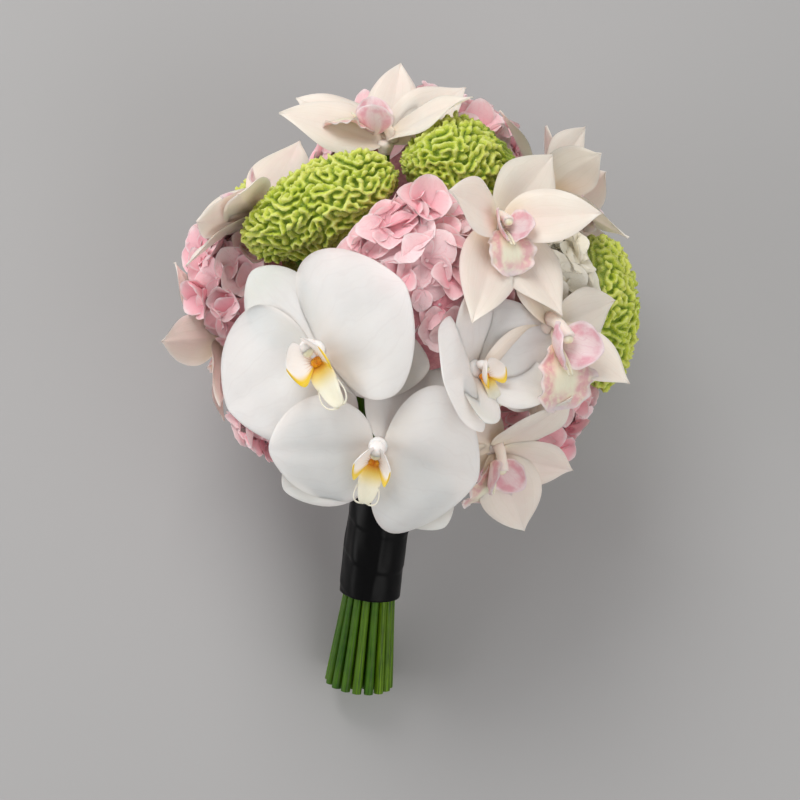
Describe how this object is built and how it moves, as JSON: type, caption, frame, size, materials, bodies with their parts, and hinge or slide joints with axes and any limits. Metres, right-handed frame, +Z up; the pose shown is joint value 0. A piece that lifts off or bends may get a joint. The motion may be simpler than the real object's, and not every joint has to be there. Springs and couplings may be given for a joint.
{
  "type": "bridal bouquet",
  "caption": "Round hand-tied bridal bouquet of moth orchids, cymbidium orchids, pink hydrangea and green cockscomb on cut stems wrapped in black satin ribbon, laid on its back.",
  "frame": {"origin": "middle of the underside of the laid bouquet's bounding box, on the surface it lies on", "axes": "+Z up; +Y along the lying bunch towards the flowers' crown, so the cut stem ends point to -Y; the front of the bunch, with the three white moth orchids, faces up"},
  "size_m": [0.2612, 0.341, 0.2722],
  "materials": {
    "white_petal": "soft matte petal",
    "yellow_lip": "waxy satin",
    "cream_petal": "soft matte petal",
    "pink_lip": "waxy satin",
    "pink_floret": "matte petal",
    "white_floret": "matte petal",
    "green_crest": "velvety matte",
    "green_stem": "smooth green plant stem",
    "green_tape": "matte floral tape",
    "black_satin": "black satin"
  },
  "bodies": {
    "root": {"cockscomb_left": "green_crest", "cockscomb_rest": "green_crest", "cockscomb_right": "green_crest", "cockscomb_top": "green_crest", "cockscomb_upper_left": "green_crest", "cymbidium_back": "cream_petal", "cymbidium_back_lip": "pink_lip", "cymbidium_crown": "cream_petal", "cymbidium_crown_lip": "pink_lip", "cymbidium_far_right": "cream_petal", "cymbidium_far_right_lip": "pink_lip", "cymbidium_left": "cream_petal", "cymbidium_left_lip": "pink_lip", "cymbidium_low_right": "cream_petal", "cymbidium_low_right_lip": "pink_lip", "cymbidium_right": "cream_petal", "cymbidium_right_lip": "pink_lip", "cymbidium_upper_left": "cream_petal", "cymbidium_upper_left_lip": "pink_lip", "cymbidium_upper_right": "cream_petal", "cymbidium_upper_right_lip": "pink_lip", "hydrangea_back": "pink_floret", "hydrangea_front": "pink_floret", "hydrangea_left": "pink_floret", "hydrangea_low_left": "pink_floret", "hydrangea_rest": "pink_floret", "hydrangea_right": "pink_floret", "hydrangea_white": "white_floret", "moth_orchid_left": "white_petal", "moth_orchid_left_lip": "yellow_lip", "moth_orchid_low": "white_petal", "moth_orchid_low_lip": "yellow_lip", "moth_orchid_right": "white_petal", "moth_orchid_right_lip": "yellow_lip", "ribbon": "black_satin", "stem_cockscomb_left": "green_stem", "stem_cockscomb_rest": "green_stem", "stem_cockscomb_right": "green_stem", "stem_cockscomb_top": "green_stem", "stem_cockscomb_upper_left": "green_stem", "stem_cymbidium_back": "green_stem", "stem_cymbidium_crown": "green_stem", "stem_cymbidium_far_right": "green_stem", "stem_cymbidium_left": "green_stem", "stem_cymbidium_low_right": "green_stem", "stem_cymbidium_right": "green_stem", "stem_cymbidium_upper_left": "green_stem", "stem_cymbidium_upper_right": "green_stem", "stem_hydrangea_back": "green_stem", "stem_hydrangea_front": "green_stem", "stem_hydrangea_left": "green_stem", "stem_hydrangea_low_left": "green_stem", "stem_hydrangea_rest": "green_stem", "stem_hydrangea_right": "green_stem", "stem_hydrangea_white": "green_stem", "stem_moth_orchid_left": "green_stem", "stem_moth_orchid_low": "green_stem", "stem_moth_orchid_right": "green_stem", "tie": "green_tape"}
  },
  "joints": []
}
